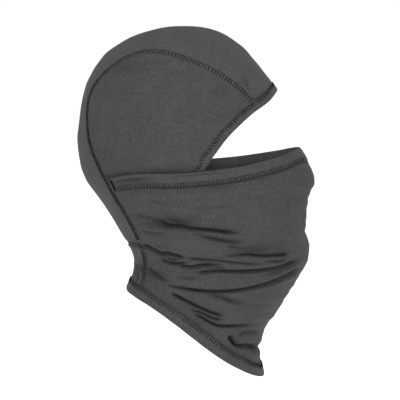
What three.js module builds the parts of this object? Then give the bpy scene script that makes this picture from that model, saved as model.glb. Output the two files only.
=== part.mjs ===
// A hooded balaclava with a hinged face mask, cut and sewn from thin stretch jersey.
// Millimetres. +X is the way the face looks, +Y the wearer's left, +Z up.
// The origin is the inside of the crown, where the hood rests on top of the wearer's head.
import * as THREE from "three";

// Driving dimensions. The pattern is drawn in one size and graded to these three.
const HOOD_LENGTH = 198; // brow to the back of the head
const GARMENT_HEIGHT = 350; // crown to the front of the neck hem
const HEAD_WIDTH = 154; // over the ears

const FABRIC = 1.0; // one layer of jersey, with its loft
const CLEARANCE = 0.6; // between the edges of pieces that are sewn together
const LAYER_GAP = 0.8; // between the hood and the mask that lies over it
const FACE_HEM = 10; // width of the hem round the face opening
const NOSE_HEM = 14; // width of the hem over the nose
const NECK_HEM = 15; // width of the hem round the neck
const HEM_THICKNESS = 1.8; // a hem is the fabric folded over on itself
const NECK_EASE = 3; // how much closer the hood lies under the mask, besides the gap
const TUCK_LENGTH = 10; // height over which the hood goes in under the mask
const SEAM_WIDTH = 5; // flatlock seam, edge to edge
const STITCH_HEIGHT = 0.6; // how far a row of stitches stands up
const STITCH_GAP = 0.45; // between stitches and the fabric that they lie on
const STITCH_ROW = 1.2; // width of one row of needle stitches
const ROW_SPACING = 3.2; // between the middles of the two rows of a twin-needle hem
const ROW_INSET = 1.4; // from a hem's sewn edge to the nearer row
const TACK_LENGTH = 11; // bar tack at each end of the nose hem
const TACK_WIDTH = 2.4;

// Grading: the pattern's own size, and how far this one is stretched from it.
const PATTERN = { length: 198, height: 350, width: 154 };
const along = HOOD_LENGTH / PATTERN.length;
const down = GARMENT_HEIGHT / PATTERN.height;
const across = HEAD_WIDTH / PATTERN.width;
const spot = ([x, z]) => new THREE.Vector2(x * along, z * down - FABRIC * (down - 1));
const curve = (points) => new THREE.SplineCurve(points.map(spot));

// Side view, in the plane of symmetry: the middle of the back, and of the front.
const crownLine = curve([
  [96, -62], [83, -44], [60, -17], [30, -1.5], [-8, 1], [-45, -8], [-75, -27], [-93, -56],
  [-101, -92], [-102, -122], [-96, -148], [-80, -172], [-60, -202], [-47, -226], [-47, -242], [-53, -262],
]);
const browLine = curve([[118, -119], [106, -100], [100, -80], [96, -62]]);
const frontLine = curve([
  [118, -119], [128, -134], [132, -150], [127, -168], [124, -190], [127, -212], [125, -234],
  [112, -257], [95, -284], [84, -302], [80, -320], [83, -349],
]);
const beyondNape = curve([[-53, -262], [-57, -290], [-58, -349]]); // the neck's line, below its hem

// Side view of the seams and edges that the wearer's right and left share.
const seamLine = curve([
  [80, -84], [67, -68], [50, -52], [24, -36.5], [-12, -24], [-40, -24.5], [-66, -38], [-84, -58],
  [-90, -82], [-86, -116], [-68, -155], [-50, -186], [-39, -210], [-34, -232], [-37, -252], [-42, -268],
]);
const faceEdge = curve([
  [96, -62], [86, -72], [71, -82], [57, -94], [46, -105], [36, -118], [25, -135], [17, -160], [16, -205],
  [20, -240], [21, -275], [19, -307],
]);
const noseEdge = curve([
  [118, -119], [94, -126], [54, -134], [6, -139], [-38, -141], [-64, -147], [-90, -158],
]);
const neckEdge = { front: spot([83, -349]), back: spot([-53, -262]), bow: 3 * down };

// Sections across the head: where each level is widest, half its width, and how pointed its front is.
const graph = (points, grade) => {
  const line = new THREE.SplineCurve(points.map(([z, v]) => new THREE.Vector2(z * down, v * grade)));
  const samples = line.getPoints(200);
  return (z) => interpolate(samples, z, "x", "y");
};
const widest = graph(
  [[-90, -4], [-140, -2], [-180, 12], [-215, 28], [-245, 34], [-280, 26], [-350, 20]],
  along,
);
const halfBreadth = graph(
  [
    [-90, 77], [-110, 76], [-140, 72], [-180, 70], [-215, 66],
    [-245, 60], [-275, 59], [-310, 62], [-350, 62],
  ],
  across,
);
const pointedness = graph(
  [[-60, 0], [-80, 0.02], [-119, 0.25], [-150, 0.24], [-190, 0.12], [-250, 0.04], [-350, 0]],
  1,
);
const NOSE_ROUND = 0.2; // keeps the ridge of the nose from coming to an edge

function interpolate(samples, value, from, to) {
  const rising = samples[samples.length - 1][from] > samples[0][from];
  const i = samples.findIndex((p) => (rising ? p[from] >= value : p[from] <= value));
  if (i === -1) return samples[samples.length - 1][to];
  if (i === 0) return samples[0][to];
  const a = samples[i - 1];
  const b = samples[i];
  return a[to] + ((b[to] - a[to]) * (value - a[from])) / (b[from] - a[from]);
}

// Above the ears the head is a dome measured from its centre, and below them it is taken level by level.
const centre = spot([-4, -100]);
const angleOf = (p) => {
  const angle = Math.atan2(p.y - centre.y, p.x - centre.x);
  return angle < -Math.PI / 2 ? angle + 2 * Math.PI : angle;
};
const crownSamples = crownLine.getPoints(600);
const frontSamples = [...browLine.getPoints(80).reverse(), ...frontLine.getPoints(300).slice(1)];
const backSamples = [...crownSamples, ...beyondNape.getPoints(60).slice(1)]
  .filter((p) => p.x < centre.x && p.y < centre.y + 1);
const domeSamples = [...browLine.getPoints(80), ...crownSamples.slice(1)]
  .map((p) => ({ angle: angleOf(p), radius: p.distanceTo(centre) }))
  .filter((p, i, all) => i === 0 || p.angle > all[i - 1].angle);
const frontX = (z) => interpolate(frontSamples, z, "y", "x");
const backX = (z) => interpolate(backSamples, z, "y", "x");
const domeRadius = (p) => interpolate(domeSamples, angleOf(p), "angle", "radius");

// Half the head's width at a place on the side view, on the outside of the hood.
function halfWidth(p) {
  const middle = p.y > centre.y ? centre.x : widest(p.y);
  const reach = (p.x > middle ? frontX(p.y) : backX(p.y)) - middle;
  const share = p.y > centre.y ? p.distanceTo(centre) / domeRadius(p) : (p.x - middle) / reach;
  const left = Math.max(0, 1 - share * share);
  const power = pointedness(p.y) * THREE.MathUtils.smoothstep(p.x - middle, 0, 60 * along);
  const section = Math.sqrt(left) * Math.pow((left + NOSE_ROUND) / (1 + NOSE_ROUND), power);
  return halfBreadth(Math.min(p.y, centre.y)) * section;
}

// Measures on the side view, from the two edges that everything else is set back from.
const faceSamples = faceEdge.getPoints(400);
const fromFace = (p) => Math.min(...faceSamples.map((q) => q.distanceTo(p)));
const neckSlope = neckEdge.front.clone().sub(neckEdge.back).normalize();
const neckRise = new THREE.Vector2(-neckSlope.y, neckSlope.x);
const neckLength = neckEdge.front.distanceTo(neckEdge.back);
const bowAt = (share) => neckEdge.bow * Math.sin(Math.PI * share * share);
function aboveNeck(p) {
  const fromBack = p.clone().sub(neckEdge.back);
  return fromBack.dot(neckRise) - bowAt(1 - fromBack.dot(neckSlope) / neckLength);
}

// The share of a line at which a measure first passes a value.
function shareWhere(place, measure, value) {
  const steps = 2000;
  const rising = measure(place(0)) < value;
  for (let i = 1; i <= steps; i++)
    if (measure(place(i / steps)) > value === rising) return i / steps;
  return 1;
}

// The share of a line that lies nearest to a place.
function nearest(line, p) {
  const steps = 2000;
  let best = 0;
  for (let i = 1; i <= steps; i++)
    if (line.getPointAt(i / steps).distanceTo(p) < line.getPointAt(best).distanceTo(p)) best = i / steps;
  return best;
}

// A place beside a line, some millimetres towards the back of the head.
function beside(line, t, offset) {
  const share = Math.min(Math.max(t, 0), 1);
  const tangent = line.getTangentAt(share);
  return line.getPointAt(share).add(new THREE.Vector2(tangent.y, -tangent.x).multiplyScalar(offset));
}

const noseSamples = noseEdge.getPoints(400);
const noseEdgeZ = (x) => interpolate(noseSamples, x, "x", "y");
const fromNose = (p) => Math.min(...noseSamples.map((q) => q.distanceTo(p)));
const belowNose = (p) => Math.sign(noseEdgeZ(p.x) - p.y) * fromNose(p);
const aheadOfSeam = SEAM_WIDTH / 2 + CLEARANCE;
const overNeckHem = NECK_HEM + CLEARANCE;
const behindFaceHem = FACE_HEM + CLEARANCE;
const seamFrom = shareWhere((t) => seamLine.getPointAt(t), fromFace, behindFaceHem);
const seamTo = shareWhere((t) => seamLine.getPointAt(t), aboveNeck, overNeckHem);
const hingeShare = shareWhere((t) => beside(seamLine, t, -aheadOfSeam), belowNose, NOSE_HEM);
const maskFrom = shareWhere((t) => beside(seamLine, t, -CLEARANCE / 2), belowNose, NOSE_HEM + CLEARANCE);
const crownFrom = behindFaceHem / crownLine.getLength();
const crownTo = shareWhere((t) => crownLine.getPointAt(t), aboveNeck, overNeckHem);
const faceTo = shareWhere((t) => beside(faceEdge, t, behindFaceHem), aboveNeck, overNeckHem);
const faceFrom = nearest(faceEdge, seamLine.getPointAt(seamFrom));
const noseTo = nearest(noseEdge, beside(seamLine, hingeShare, -aheadOfSeam));
const maskTopTo = nearest(noseEdge, beside(seamLine, maskFrom, -CLEARANCE / 2));
const neckTo = 1 - seamLine.getPointAt(seamTo).sub(neckEdge.back).dot(neckSlope) / neckLength;

const STEP = 0.02; // share of a piece over which its slope is taken

// A closed shell over a grid of places: u runs -1 to 1 across, or round a ring, and v from 0 to 1.
// lift(place) is how far its outside stands off the head, and thick how far in it reaches from there.
function shell(place, columns, rows, { lift = () => 0, thick = FABRIC, ring = false, mirror = false }) {
  const at = (u, v) => {
    const { p, side } = place(u, v);
    return new THREE.Vector3(p.x, side * halfWidth(p) * (mirror ? -1 : 1), p.y);
  };
  const outward = (u, v) => {
    const here = at(u, v);
    const du = at(u + STEP, v).sub(at(u - STEP, v));
    const dv = at(u, v + STEP).sub(at(u, v - STEP));
    const level = Math.min(here.z, centre.y);
    const normal = du.cross(dv).normalize();
    return normal.dot(here.sub(new THREE.Vector3(widest(level), 0, level))) < 0 ? normal.negate() : normal;
  };
  const vertices = [];
  const wide = ring ? columns : columns + 1;
  for (const depth of [0, thick])
    for (let j = 0; j <= rows; j++)
      for (let i = 0; i < wide; i++) {
        const u = -1 + (2 * i) / columns;
        const v = j / rows;
        const normal = outward(u, Math.min(Math.max(v, STEP), 1 - STEP));
        vertices.push(...at(u, v).addScaledVector(normal, lift(place(u, v).p, u) - depth).toArray());
      }
  const outer = (i, j) => j * wide + (i % wide);
  const inner = (i, j) => wide * (rows + 1) + outer(i, j);
  const faces = [];
  const quad = (a, b, c, d) => faces.push(a, b, c, a, c, d);
  for (let j = 0; j < rows; j++)
    for (let i = 0; i < columns; i++) {
      quad(outer(i, j), outer(i + 1, j), outer(i + 1, j + 1), outer(i, j + 1));
      quad(inner(i, j), inner(i, j + 1), inner(i + 1, j + 1), inner(i + 1, j));
    }
  for (let i = 0; i < columns; i++) {
    quad(inner(i, 0), inner(i + 1, 0), outer(i + 1, 0), outer(i, 0));
    quad(outer(i, rows), outer(i + 1, rows), inner(i + 1, rows), inner(i, rows));
  }
  for (let j = 0; j < rows && !ring; j++) {
    quad(outer(0, j), outer(0, j + 1), inner(0, j + 1), inner(0, j));
    quad(inner(columns, j), inner(columns, j + 1), outer(columns, j + 1), outer(columns, j));
  }
  const geometry = new THREE.BufferGeometry();
  geometry.setAttribute("position", new THREE.Float32BufferAttribute(vertices, 3));
  geometry.setIndex(faces);
  if (signedVolume(geometry) < 0) geometry.setIndex(faces.reverse());
  geometry.computeVertexNormals();
  return geometry;
}

function signedVolume(geometry) {
  const position = geometry.getAttribute("position");
  const corner = (i) => new THREE.Vector3().fromBufferAttribute(position, geometry.index.getX(i));
  let volume = 0;
  for (let i = 0; i < geometry.index.count; i += 3)
    volume += corner(i).dot(corner(i + 1).cross(corner(i + 2))) / 6;
  return volume;
}

// Places for the shells. Across a piece they start at the plane of symmetry and run round each side.
const between = (from, to, share) => from + (to - from) * share;
const sideOf = (u) => (Math.abs(u) < 1e-9 ? 0 : Math.sign(u));
const roundSide = (u) => 1 - Math.cos((Math.abs(u) * Math.PI) / 2);

// Crown panel: v runs from brow to nape, and u across from seam to seam.
const crownPlace = (u, v) => {
  const middle = crownLine.getPointAt(between(crownFrom, crownTo, v));
  const edge = beside(seamLine, between(seamFrom, seamTo, v), CLEARANCE / 2);
  return { p: middle.lerp(edge, roundSide(u)), side: sideOf(u) };
};

// Side panel: u runs from brow to neck, and v from the crown seam to the hem of the face opening.
const sidePlace = (u, v) => {
  const t = (u + 1) / 2;
  const seam = beside(seamLine, between(seamFrom, seamTo, t), -CLEARANCE / 2);
  const hem = beside(faceEdge, between(faceFrom, faceTo, t), behindFaceHem);
  return { p: seam.lerp(hem, v), side: -1 };
};

// The hood goes in under the mask from just above the nose hem, far enough for the hem to swing over it.
const tucked = (p) => THREE.MathUtils.smoothstep(noseEdgeZ(p.x) - p.y, -TUCK_LENGTH, 2);
const hoodLift = (p) => -(FABRIC + LAYER_GAP + CLEARANCE + NECK_EASE) * tucked(p);

// Hem of the face opening: u runs round it from one side of the neck to the other, v back from its edge.
// Over the brow it is set back along the crown line, so that its middle stays in the plane of symmetry.
const facePlace = (from, to) => (u, v) => {
  const t = roundSide(u) * faceTo;
  const offset = between(from, to, v);
  const shift = crownLine.getPointAt(offset / crownLine.getLength()).sub(beside(faceEdge, 0, offset));
  const overBrow = 1 - THREE.MathUtils.smoothstep(t, 0, faceFrom);
  return { p: beside(faceEdge, t, offset).addScaledVector(shift, overBrow), side: sideOf(u) };
};

// Nose hem: u runs from seam to seam round the front, and v down from the top edge.
const nosePlace = (from, to) => (u, v) => {
  const p = beside(noseEdge, roundSide(u) * noseTo, -between(from, to, v));
  const onOutline = new THREE.Vector2(frontX(p.y), p.y);
  return { p: sideOf(u) ? p : onOutline, side: sideOf(u) };
};

// Mask: u runs from seam to seam round the front, and v from the nose hem to the neck hem.
// It is a patch stretched between those two hems, the front line and the seam.
const maskTop = (share) => beside(noseEdge, share * maskTopTo, -NOSE_HEM - CLEARANCE);
const maskFoot = (share) => neckPlace(share * neckTo, overNeckHem);
const maskBack = (v) => beside(seamLine, between(maskFrom, seamTo, v), -CLEARANCE / 2);
const maskFront = (v) => {
  const z = between(maskTop(0).y, maskFoot(0).y, v);
  return new THREE.Vector2(frontX(z), z);
};
const maskPlace = (u, v) => {
  const share = roundSide(u);
  const ruled = (s) => maskTop(s).lerp(maskFoot(s), v);
  const atFront = maskFront(v).sub(ruled(0)).multiplyScalar(1 - share);
  const atBack = maskBack(v).sub(ruled(1)).multiplyScalar(share);
  return { p: ruled(share).add(atFront).add(atBack), side: sideOf(u) };
};
const overHood = (p, u) => (FABRIC + LAYER_GAP) * (1 - THREE.MathUtils.smoothstep(Math.abs(u), 0.84, 0.96));

// Neck hem, and the stitching on it: v climbs from its cut edge.
function neckPlace(share, height) {
  const front = neckEdge.front.clone().addScaledVector(neckRise, height);
  const back = neckEdge.back.clone().addScaledVector(neckRise, height);
  front.x = frontX(front.y);
  back.x = backX(back.y);
  return front.lerp(back, share).addScaledVector(neckRise, bowAt(share));
}
const neckRing = (from, to) => (u, v) => {
  const share = (1 - Math.cos(Math.PI * u)) / 2;
  return { p: neckPlace(share, between(from, to, v)), side: sideOf(Math.sin(Math.PI * u)) };
};

// Flatlock seam: u runs from brow to neck, and v across it. Its width is measured on the cloth.
const flatlockPlace = (u, v) => {
  const t = between(seamFrom, seamTo, (u + 1) / 2);
  const rise = halfWidth(beside(seamLine, t, -0.5)) - halfWidth(beside(seamLine, t, 0.5));
  const halfSeam = SEAM_WIDTH / 2 / Math.hypot(1, rise);
  return { p: beside(seamLine, t, between(halfSeam, -halfSeam, v)), side: -1 };
};

// Bar tack: it stands across the nose hem just ahead of the crown seam.
const tackPlace = (u, v) => {
  const t = hingeShare + ((u - 1) * TACK_LENGTH) / 2 / seamLine.getLength();
  return { p: beside(seamLine, t, -aheadOfSeam - between(ROW_INSET, ROW_INSET + TACK_WIDTH, v)), side: -1 };
};

const balaclava = new THREE.Group();
const jersey = () => new THREE.MeshStandardMaterial({ color: 0x4f4f50, roughness: 0.85, metalness: 0 });
const thread = () => new THREE.MeshStandardMaterial({ color: 0x262627, roughness: 0.6, metalness: 0 });
function add(name, geometry, material) {
  const mesh = new THREE.Mesh(geometry, material);
  mesh.name = name;
  balaclava.add(mesh);
}

const SEAM_STEPS = 40;
const sides = [["right", false], ["left", true]];
const hemLift = (HEM_THICKNESS - FABRIC) / 2;
const noseLift = HEM_THICKNESS + LAYER_GAP;
const onTop = (lift) => lift + STITCH_GAP + STITCH_HEIGHT;
const rowAt = (middle, breadth) => [middle - breadth / 2, middle + breadth / 2];
const twinRows = rowAt(NOSE_HEM - ROW_INSET - ROW_SPACING / 2, ROW_SPACING + STITCH_ROW);
const faceRow = rowAt(FACE_HEM - ROW_INSET, STITCH_ROW);
const neckRow = [NECK_HEM - ROW_INSET - SEAM_WIDTH, NECK_HEM - ROW_INSET];

add("crown_panel", shell(crownPlace, 12, SEAM_STEPS, {}), jersey());
for (const [name, mirror] of sides)
  add(`side_panel_${name}`, shell(sidePlace, SEAM_STEPS, 8, { lift: hoodLift, mirror }), jersey());
const faceHemLift = (p, u) => {
  const edge = facePlace(0, 0)(u, 0).p;
  return hoodLift(edge) + hemLift * (1 - tucked(edge));
};
const hem = (name, place, steps, lift, more = {}) =>
  add(name, shell(place, steps, 1, { lift, thick: HEM_THICKNESS, ...more }), jersey());
const sewn = (name, place, steps, lift, more = {}) => {
  const over = (p, u) => onTop(lift(p, u));
  add(name, shell(place, steps, 1, { lift: over, thick: STITCH_HEIGHT, ...more }), thread());
};

hem("face_hem", facePlace(0, FACE_HEM), 64, faceHemLift);
sewn("face_hem_stitching", facePlace(...faceRow), 64, faceHemLift);
add("mask_panel", shell(maskPlace, 40, 14, { lift: overHood }), jersey());
hem("nose_hem", nosePlace(0, NOSE_HEM), 40, () => noseLift);
sewn("nose_hem_stitching", nosePlace(...twinRows), 40, () => noseLift);
hem("neck_hem", neckRing(0, NECK_HEM), 48, () => hemLift, { ring: true });
sewn("neck_hem_stitching", neckRing(...neckRow), 48, () => hemLift, { ring: true });
for (const [name, mirror] of sides) {
  sewn(`crown_seam_${name}`, flatlockPlace, SEAM_STEPS, () => 0, { mirror });
  sewn(`bar_tack_${name}`, tackPlace, 2, () => onTop(noseLift), { mirror });
}

export default balaclava;
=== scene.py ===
"""A hooded balaclava with a hinged face mask, cut and sewn from thin charcoal jersey.

Every piece of cloth lies on one surface, the wearer's head and neck. A place on it is given on the side
view, as x forwards and z up, with the side of the head that it is on.
"""
import math

import bpy
import numpy as np
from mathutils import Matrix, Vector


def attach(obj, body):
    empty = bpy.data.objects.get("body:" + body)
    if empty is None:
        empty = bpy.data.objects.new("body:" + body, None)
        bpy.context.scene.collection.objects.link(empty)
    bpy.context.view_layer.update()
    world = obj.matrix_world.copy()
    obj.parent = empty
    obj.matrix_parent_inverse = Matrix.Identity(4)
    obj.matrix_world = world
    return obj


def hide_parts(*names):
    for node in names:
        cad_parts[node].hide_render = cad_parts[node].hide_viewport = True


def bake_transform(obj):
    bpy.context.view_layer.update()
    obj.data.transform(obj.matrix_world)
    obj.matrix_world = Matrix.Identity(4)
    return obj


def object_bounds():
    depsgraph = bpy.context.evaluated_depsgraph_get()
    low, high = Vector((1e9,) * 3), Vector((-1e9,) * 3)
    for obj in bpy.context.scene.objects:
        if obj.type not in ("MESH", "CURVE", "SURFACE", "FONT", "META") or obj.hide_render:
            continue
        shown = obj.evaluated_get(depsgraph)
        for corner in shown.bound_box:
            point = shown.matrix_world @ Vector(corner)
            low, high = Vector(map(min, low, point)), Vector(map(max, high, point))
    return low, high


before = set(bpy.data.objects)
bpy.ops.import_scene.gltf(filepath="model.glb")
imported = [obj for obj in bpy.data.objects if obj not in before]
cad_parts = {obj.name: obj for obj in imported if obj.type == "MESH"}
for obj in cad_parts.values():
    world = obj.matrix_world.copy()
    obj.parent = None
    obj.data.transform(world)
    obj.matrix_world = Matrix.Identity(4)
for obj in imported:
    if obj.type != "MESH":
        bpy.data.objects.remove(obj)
cad_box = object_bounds()

MM = 0.001
PATTERN_SIZE = (236.2, 153.0, 350.7)  # millimetres: the pattern as drawn, which is graded to the frame
GRADE = [(cad_box[1][i] - cad_box[0][i]) / MM / PATTERN_SIZE[i] for i in range(3)]

JERSEY = 0.9 * MM
FACE_HEM = 10 * MM
NOSE_HEM = 14 * MM
NECK_HEM = 15 * MM
HEM_THICKNESS = 2.2 * MM
HEM_PUFF = 0.35 * MM  # how far a hem's outer layer stands up in its middle
HELD_DOWN = 0.42 * MM  # how far its stitching holds that layer down
HEM_CREASE = 1.0 * MM  # depth of a crease that lies along a hem
SEAM_WIDTH = 5.4 * MM
TUCK = 2.6 * MM  # how far the hood goes in under the nose hem
EASE = 2.6 * MM  # and how much further under the mask
MASK_LIFT = 1.3 * MM
NOSE_LIFT = 1.6 * MM
TACK_LENGTH = 11 * MM
UNDER_HEM = 4 * MM  # how far a panel goes on inside a hem
NECK_BOW = 4.5 * MM  # how far the neck hem is bowed up towards the nape
NECK_DIP = 1.8 * MM  # and down towards the front
NECK_WIDENING = 0.33  # how much wider the neck hem is at its widest
NOSE_ROUND = 0.2  # keeps the ridge of the nose from coming to an edge


# ---------------------------------------------------------------- pattern

def catmull(knots, per_span=24):
    """A smooth line through the knots."""
    ends = np.vstack([2 * knots[0] - knots[1], knots, 2 * knots[-1] - knots[-2]])
    t = np.linspace(0, 1, per_span, endpoint=False)[:, None]
    spans = []
    for a, b, c, d in zip(ends, ends[1:], ends[2:], ends[3:]):
        spans.append(b + 0.5 * t * (c - a + t * (2 * a - 5 * b + 4 * c - d + t * (3 * (b - c) + d - a))))
    return np.vstack(spans + [knots[-1:]])


class Line:
    """A smooth line on the side view, followed by shares of its length."""

    def __init__(self, *places):
        knots = np.array(places, float) * MM * (GRADE[0], GRADE[2])
        self.points = catmull(knots)
        self.marks = np.concatenate([[0], np.cumsum(np.hypot(*np.diff(self.points, axis=0).T))])
        self.length = self.marks[-1]

    def at(self, share):
        where = np.clip(share, 0, 1) * self.length
        return np.stack([np.interp(where, self.marks, self.points[:, k]) for k in (0, 1)], -1)

    def beside(self, share, offset):
        """Places some metres from the line, towards the back of the head."""
        ahead = self.at(np.asarray(share) + 0.002) - self.at(np.asarray(share) - 0.002)
        ahead /= np.linalg.norm(ahead, axis=-1, keepdims=True)
        across = np.stack([ahead[..., 1], -ahead[..., 0]], -1)
        return self.at(share) + across * np.asarray(offset)[..., None]

    def nearest(self, place):
        return self.marks[np.argmin(np.hypot(*(self.points - place).T))] / self.length

    def distance(self, places):
        """Distance to the line, in metres."""
        gaps = places[..., None, :] - self.points[::4]
        return np.sqrt((gaps**2).sum(-1)).min(-1)


CROWN_LINE = Line(
    (96, -62), (83, -44), (60, -17.5), (30, -1.5), (-8, 1), (-45, -8), (-75, -27), (-93, -56), (-100.5, -90),
    (-102, -120), (-95, -149), (-79, -172), (-61, -201), (-49, -222), (-46.5, -238), (-53, -262),
)
BROW_LINE = Line((118, -119), (106, -100), (100, -80), (96, -62))
FRONT_LINE = Line(
    (118, -119), (125, -129), (132, -143), (132.5, -155), (127, -168), (125, -186), (124, -203), (127.5, -215),
    (127, -230), (119, -246), (107, -265), (95, -284), (85, -298), (80, -313), (80, -328), (83, -349),
)
NECK_BACK = Line((-53, -262), (-57, -290), (-58, -349))
SEAM_LINE = Line(
    (80, -84), (67, -68), (50, -52), (24, -36.5), (-12, -24), (-40, -24.5), (-66, -38), (-84, -58), (-90, -82),
    (-86, -116), (-68, -155), (-50, -186), (-39, -210), (-34, -232), (-37, -252), (-42, -268),
)
FACE_EDGE = Line(
    (96, -62), (86, -72), (71, -82), (57, -94), (46, -105), (36, -118), (25, -135), (17, -160), (16, -205),
    (20, -240), (21, -275), (19, -307),
)
NOSE_EDGE = Line((118, -119), (94, -126), (54, -133.5), (6, -138), (-38, -139.5), (-64, -144), (-90, -154))
NECK_FRONT_END = np.array((83, -349)) * MM * (GRADE[0], GRADE[2])
NECK_BACK_END = np.array((-53, -262)) * MM * (GRADE[0], GRADE[2])


def by_height(pairs, grade=1.0):
    """A smooth value at each height, from pairs of a height and a value."""
    line = catmull(np.array(pairs, float) * (MM * GRADE[2], grade))
    return lambda z: np.interp(z, line[::-1, 0], line[::-1, 1])


widest_x = by_height(
    [(-90, -4), (-140, -2), (-180, 12), (-215, 28), (-245, 34), (-280, 26), (-350, 20)], MM * GRADE[0]
)
half_breadth = by_height(
    [(-90, 77), (-110, 76), (-140, 72), (-180, 70), (-215, 66), (-245, 60), (-275, 59), (-310, 62), (-350, 62)],
    MM * GRADE[1],
)
pointedness = by_height(
    [(-60, 0), (-80, 0.02), (-119, 0.25), (-150, 0.24), (-190, 0.12), (-250, 0.04), (-350, 0)]
)

CENTRE = np.array((-4, -100)) * MM * (GRADE[0], GRADE[2])
_front = np.vstack([BROW_LINE.points[::-1], FRONT_LINE.points[1:]])
_back = np.vstack([CROWN_LINE.points, NECK_BACK.points[1:]])
_back = _back[(_back[:, 0] < CENTRE[0]) & (_back[:, 1] < CENTRE[1] + MM)]
_dome = np.vstack([BROW_LINE.points, CROWN_LINE.points])


def angle_of(x, z):
    angle = np.arctan2(z - CENTRE[1], x - CENTRE[0])
    return np.where(angle < -math.pi / 2, angle + 2 * math.pi, angle)


_angles = angle_of(*_dome.T)
_order = np.argsort(_angles)
_angles = _angles[_order]
_radii = np.hypot(*(_dome - CENTRE).T)[_order]


def step_up(x, low, high):
    t = np.clip((np.asarray(x) - low) / (high - low), 0, 1)
    return t * t * (3 - 2 * t)


def front_x(z):
    return np.interp(-z, -_front[:, 1], _front[:, 0])


def back_x(z):
    return np.interp(-z, -_back[:, 1], _back[:, 0])


def half_width(x, z):
    """Half the width of the head at a place on the side view, over the hood."""
    above = z > CENTRE[1]
    level = np.minimum(z, CENTRE[1])
    middle = np.where(above, CENTRE[0], widest_x(level))
    reach = np.where(x > middle, front_x(z), back_x(z)) - middle
    round_share = np.hypot(x - CENTRE[0], z - CENTRE[1]) / np.interp(angle_of(x, z), _angles, _radii)
    share = np.where(above, round_share, (x - middle) / reach)
    left = np.clip(1 - share**2, 0, None)
    power = pointedness(z) * step_up(x - middle, 0, 60 * MM)
    return half_breadth(level) * np.sqrt(left) * ((left + NOSE_ROUND) / (1 + NOSE_ROUND)) ** power


# ---------------------------------------------------------------- places of the pieces

def round_side(u):
    """From the plane of symmetry round one side, closely spaced where the cloth turns the corner."""
    return 1 - np.cos(np.abs(u) * math.pi / 2)


def mix(a, b, share):
    return a + (b - a) * np.asarray(share)[..., None]


neck_slope = (NECK_FRONT_END - NECK_BACK_END) / np.linalg.norm(NECK_FRONT_END - NECK_BACK_END)
neck_rise = np.array((-neck_slope[1], neck_slope[0]))
neck_length = np.linalg.norm(NECK_FRONT_END - NECK_BACK_END)


def neck_bow(share):
    return NECK_BOW * np.sin(math.pi * share**2) - NECK_DIP * np.sin(math.pi * (1 - share) ** 2)


def neck_place(share, height):
    """From the front of the neck hem to its back, some metres above its cut edge."""
    rise = np.asarray(height)[..., None] * neck_rise
    front = NECK_FRONT_END + rise
    back = NECK_BACK_END + rise
    front = np.stack([front_x(front[..., 1]), front[..., 1]], -1)
    back = np.stack([back_x(back[..., 1]), back[..., 1]], -1)
    return mix(front, back, share) + neck_bow(np.asarray(share))[..., None] * neck_rise


def above_neck(places):
    from_back = places - NECK_BACK_END
    share = 1 - from_back @ neck_slope / neck_length
    return from_back @ neck_rise - neck_bow(share)


def below_nose(places):
    """How far a place is below the top edge of the nose hem."""
    edge_z = np.interp(places[..., 0], NOSE_EDGE.points[::-1, 0], NOSE_EDGE.points[::-1, 1])
    return edge_z - places[..., 1]


def first_share(line, measure, value, after=0.0):
    """The share of a line at which a measure first reaches a value."""
    shares = np.linspace(after, 1, 1500)
    values = measure(line.at(shares))
    passed = (values >= value) != (values[0] >= value)
    return shares[np.argmax(passed)]


seam_from = first_share(SEAM_LINE, FACE_EDGE.distance, FACE_HEM)
seam_to = first_share(SEAM_LINE, above_neck, NECK_HEM - UNDER_HEM)
crown_from = (FACE_HEM - UNDER_HEM) / CROWN_LINE.length
crown_to = first_share(CROWN_LINE, above_neck, NECK_HEM - UNDER_HEM)
face_from = FACE_EDGE.nearest(SEAM_LINE.at(seam_from))
face_to = first_share(FACE_EDGE, above_neck, NECK_HEM - UNDER_HEM)
hinge_share = first_share(SEAM_LINE, below_nose, NOSE_HEM, 0.4)
nose_to = NOSE_EDGE.nearest(SEAM_LINE.beside(hinge_share, -SEAM_WIDTH * 0.4))
mask_share = first_share(SEAM_LINE, below_nose, NOSE_HEM - UNDER_HEM, 0.4)
mask_top_to = NOSE_EDGE.nearest(SEAM_LINE.at(mask_share))
neck_to = 1 - (SEAM_LINE.at(seam_to) - NECK_BACK_END) @ neck_slope / neck_length


def crown_place(u, v):
    middle = CROWN_LINE.at(crown_from + (crown_to - crown_from) * v)
    edge = SEAM_LINE.at(seam_from + (seam_to - seam_from) * v)
    return mix(middle, edge, round_side(u)), np.sign(u)


def side_place(side):
    def place(u, v):
        """u from brow to neck, v from the crown seam to the hem of the face opening"""
        t = (u + 1) / 2
        seam = SEAM_LINE.at(seam_from + (seam_to - seam_from) * t)
        edge = FACE_EDGE.beside(face_from + (face_to - face_from) * t, FACE_HEM - UNDER_HEM)
        return mix(seam, edge, v), side
    return place


def mask_place(u, v):
    """u from seam to seam round the front, v from the nose hem to the neck hem"""
    share = round_side(u)

    def ruled(s):
        top = NOSE_EDGE.beside(s * mask_top_to, UNDER_HEM - NOSE_HEM)
        return mix(top, neck_place(s * neck_to, np.full(np.shape(s), NECK_HEM - UNDER_HEM)), v)

    zero = np.zeros(np.shape(u))
    front_z = ruled(zero)[..., 1]
    front = np.stack([front_x(front_z), front_z], -1)
    back = SEAM_LINE.at(mask_share + (seam_to - mask_share) * v)
    to_front = (front - ruled(zero)) * (1 - share)[..., None]
    to_back = (back - ruled(zero + 1)) * share[..., None]
    return ruled(share) + to_front + to_back, np.sign(u)


def face_band(u, depth):
    """u round the face opening, depth back from its edge"""
    t = round_side(u) * face_to
    shift = CROWN_LINE.at(depth / CROWN_LINE.length) - FACE_EDGE.beside(0 * t, depth)
    over_brow = 1 - step_up(t, 0, face_from)
    return FACE_EDGE.beside(t, depth) + shift * over_brow[..., None], np.sign(u)


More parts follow.
